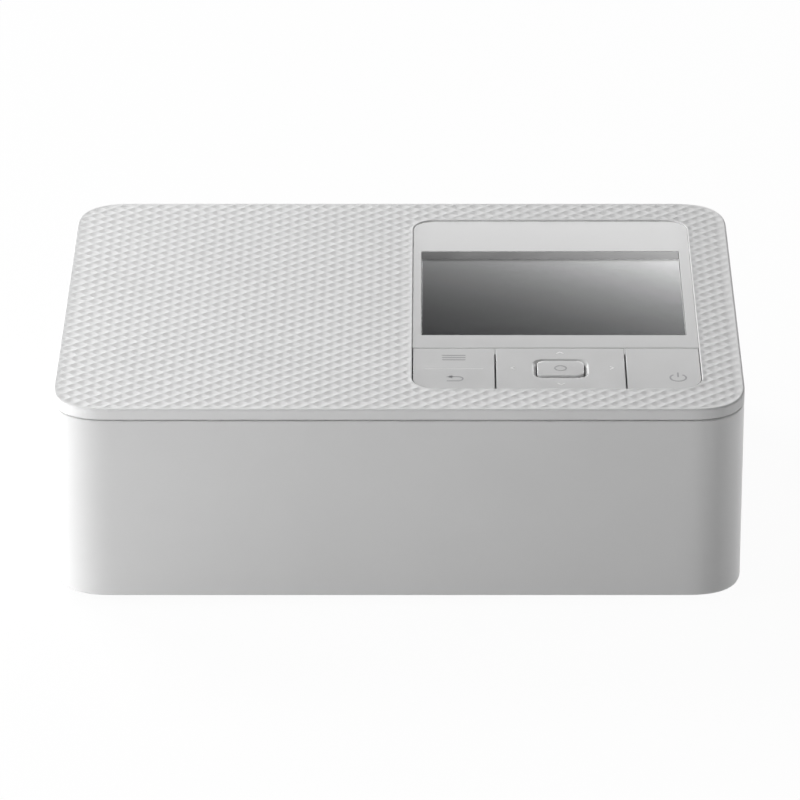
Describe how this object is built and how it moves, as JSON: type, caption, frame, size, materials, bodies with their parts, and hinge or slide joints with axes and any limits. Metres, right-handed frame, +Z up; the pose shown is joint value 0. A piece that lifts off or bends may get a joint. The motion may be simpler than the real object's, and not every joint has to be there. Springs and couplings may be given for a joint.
{
  "type": "compact photo printer",
  "caption": "Small desktop dye-transfer photo printer: textured top with display and keys, drop-down front cover, side ink door, ribbon cassette and roller drive inside.",
  "frame": {"origin": "centre of the footprint, on the table under the rubber feet", "axes": "+X to the right of the operator along the width, +Y to the back along the depth, +Z up"},
  "size_m": [0.1822, 0.133, 0.0576],
  "materials": {
    "white_shell": "fine satin white moulding",
    "inner_plastic": "pale grey satin moulding",
    "panel_white": "semi-gloss white moulding",
    "window_dark": "clear-coated dark acrylic",
    "display_metal": "pressed sheet",
    "rubber": "matt rubber",
    "steel": "bright sheet and bar",
    "socket_metal": "plated sheet",
    "brass": "turned and sintered",
    "head_ceramic": "ground ceramic on aluminium",
    "board": "solder-masked laminate",
    "black_plastic": "black moulding",
    "flex_cable": "flat film cable",
    "gear_plastic": "natural acetal",
    "cassette_plastic": "dark grey moulding",
    "ribbon_film": "dye-coated film",
    "lever_plastic": "blue moulding"
  },
  "bodies": {
    "printer": {"top_cover": "white_shell", "body_shell": "white_shell", "base_tray": "inner_plastic", "front_frame": "inner_plastic", "display_bezel": "panel_white", "display_window": "window_dark", "display_module": "display_metal", "key_board": "board", "key_switches": "black_plastic", "terminal_cover": "white_shell", "battery_connector": "black_plastic", "rubber_feet": "rubber", "case_screws": "steel", "control_board": "board", "card_reader": "socket_metal", "usb_a_port": "socket_metal", "usb_c_port": "socket_metal", "power_board": "board", "board_chips": "black_plastic", "dc_inlet": "black_plastic", "display_cable": "flex_cable", "left_frame": "steel", "right_frame": "steel", "gear_plate": "steel", "frame_posts": "steel", "tie_bars": "steel", "inner_screws": "steel", "paper_guides": "black_plastic", "shaft_bushes": "brass", "feed_motor": "steel", "ribbon_motor": "steel", "fan_housing": "black_plastic"},
    "front_cover": {"front_cover": "white_shell"},
    "ink_door": {"ink_door": "white_shell"},
    "menu_key": {"menu_key": "panel_white"},
    "pad_carrier": {"pad_carrier": "inner_plastic"},
    "navigation_pad": {"navigation_pad": "panel_white"},
    "ok_key": {"ok_key": "panel_white"},
    "power_key": {"power_key": "panel_white"},
    "platen": {"platen_shaft": "steel", "platen_roller": "rubber"},
    "capstan": {"capstan_shaft": "steel", "capstan_gear": "gear_plastic"},
    "pinch_roller": {"pinch_roller": "rubber"},
    "idler_gear": {"idler_gear": "gear_plastic"},
    "feed_pinion": {"feed_pinion": "brass"},
    "ribbon_pinion": {"ribbon_pinion": "brass"},
    "takeup_drive": {"takeup_spindle": "steel", "spindle_gear": "gear_plastic"},
    "print_head": {"head_bracket": "steel", "thermal_head": "head_ceramic"},
    "pickup_shaft": {"pickup_shaft": "steel"},
    "pickup_arm": {"pickup_arm": "black_plastic"},
    "pickup_roller": {"pickup_roller": "rubber"},
    "ink_cassette": {"ink_cassette": "cassette_plastic", "ink_ribbon": "ribbon_film"},
    "supply_spool": {"supply_spool": "ribbon_film"},
    "takeup_spool": {"takeup_spool": "ribbon_film"},
    "eject_lever": {"eject_lever": "lever_plastic"},
    "fan_rotor": {"fan_rotor": "black_plastic"}
  },
  "joints": [
    {"name": "front_cover_hinge", "type": "hinge", "parent": "printer", "child": "front_cover", "pos_m": [0, -0.0622, 0.0056], "axis": [1, 0, 0], "range_deg": [0, 90]},
    {"name": "ink_door_hinge", "type": "hinge", "parent": "printer", "child": "ink_door", "pos_m": [0.0868, 0.011, 0.0056], "axis": [0, 1, 0], "range_deg": [0, 90]},
    {"name": "menu_key_rock", "type": "hinge", "parent": "printer", "child": "menu_key", "pos_m": [0.01445, -0.04105, 0.0539], "axis": [1, 0, 0], "range_deg": [-1.2, 1.2], "stiffness_Nm_per_rad": 0.3},
    {"name": "pad_left_right", "type": "hinge", "parent": "printer", "child": "pad_carrier", "pos_m": [0.0428, -0.04105, 0.0535], "axis": [0, 1, 0], "range_deg": [-1.2, 1.2], "stiffness_Nm_per_rad": 0.3},
    {"name": "pad_up_down", "type": "hinge", "parent": "pad_carrier", "child": "navigation_pad", "pos_m": [0.0428, -0.04105, 0.0535], "axis": [1, 0, 0], "range_deg": [-1.2, 1.2], "stiffness_Nm_per_rad": 0.3},
    {"name": "ok_key_press", "type": "slide", "parent": "printer", "child": "ok_key", "axis": [0, 0, -1], "range_m": [0, 0.00035], "stiffness_N_per_m": 800},
    {"name": "power_key_press", "type": "hinge", "parent": "printer", "child": "power_key", "pos_m": [0.07, -0.0292, 0.0552], "axis": [1, 0, 0], "range_deg": [0, 1.1], "stiffness_Nm_per_rad": 0.3},
    {"name": "capstan_spin", "type": "hinge", "parent": "printer", "child": "capstan", "pos_m": [0.012, 0.05, 0.024], "axis": [1, 0, 0], "continuous": true},
    {"name": "idler_spin", "type": "hinge", "parent": "printer", "child": "idler_gear", "pos_m": [-0.06, 0.02715, 0.01997], "axis": [1, 0, 0], "continuous": true},
    {"name": "feed_pinion_spin", "type": "hinge", "parent": "printer", "child": "feed_pinion", "pos_m": [-0.06, 0.01115, 0.01997], "axis": [1, 0, 0], "continuous": true},
    {"name": "pinch_spin", "type": "hinge", "parent": "printer", "child": "pinch_roller", "pos_m": [0.012, 0.05, 0.0306], "axis": [1, 0, 0], "continuous": true},
    {"name": "platen_spin", "type": "hinge", "parent": "printer", "child": "platen", "pos_m": [0.012, 0.019, 0.0207], "axis": [1, 0, 0], "continuous": true},
    {"name": "takeup_drive_spin", "type": "hinge", "parent": "printer", "child": "takeup_drive", "pos_m": [-0.055, 0.035, 0.0386], "axis": [1, 0, 0], "continuous": true},
    {"name": "ribbon_pinion_spin", "type": "hinge", "parent": "printer", "child": "ribbon_pinion", "pos_m": [-0.055, 0.01948, 0.04247], "axis": [1, 0, 0], "continuous": true},
    {"name": "head_press", "type": "hinge", "parent": "printer", "child": "print_head", "pos_m": [0.012, 0.056, 0.046], "axis": [1, 0, 0], "range_deg": [0, 5]},
    {"name": "pickup_shaft_spin", "type": "hinge", "parent": "printer", "child": "pickup_shaft", "pos_m": [0.012, -0.013, 0.043], "axis": [1, 0, 0], "continuous": true},
    {"name": "pickup_arm_drop", "type": "hinge", "parent": "printer", "child": "pickup_arm", "pos_m": [0.012, -0.013, 0.043], "axis": [1, 0, 0], "range_deg": [0, 8]},
    {"name": "pickup_roller_spin", "type": "hinge", "parent": "pickup_arm", "child": "pickup_roller", "pos_m": [0.012, -0.031, 0.0416], "axis": [1, 0, 0], "continuous": true},
    {"name": "ink_cassette_eject", "type": "slide", "parent": "printer", "child": "ink_cassette", "axis": [1, 0, 0], "range_m": [0, 0.004]},
    {"name": "supply_spool_spin", "type": "hinge", "parent": "ink_cassette", "child": "supply_spool", "pos_m": [0.012, 0.003, 0.0386], "axis": [1, 0, 0], "continuous": true},
    {"name": "takeup_spool_spin", "type": "hinge", "parent": "ink_cassette", "child": "takeup_spool", "pos_m": [0.012, 0.035, 0.0386], "axis": [1, 0, 0], "continuous": true},
    {"name": "eject_lever_lift", "type": "hinge", "parent": "printer", "child": "eject_lever", "pos_m": [0.078, -0.02, 0.0395], "axis": [1, 0, 0], "range_deg": [0, 25]},
    {"name": "fan_spin", "type": "hinge", "parent": "printer", "child": "fan_rotor", "pos_m": [-0.084, 0.0385, 0.027], "axis": [1, 0, 0], "continuous": true}
  ],
  "couplings": [
    {"joint": "idler_spin", "follows": "capstan_spin", "ratio": -1.0714},
    {"joint": "feed_pinion_spin", "follows": "capstan_spin", "ratio": 2.5},
    {"joint": "pinch_spin", "follows": "capstan_spin", "ratio": -0.9375},
    {"joint": "ribbon_pinion_spin", "follows": "takeup_drive_spin", "ratio": -3},
    {"joint": "takeup_spool_spin", "follows": "takeup_drive_spin", "ratio": 1},
    {"joint": "supply_spool_spin", "follows": "takeup_drive_spin", "ratio": 0.6098},
    {"joint": "pickup_roller_spin", "follows": "pickup_shaft_spin", "ratio": 1},
    {"joint": "eject_lever_lift", "follows": "ink_cassette_eject", "rad_per_m": 109.07}
  ]
}
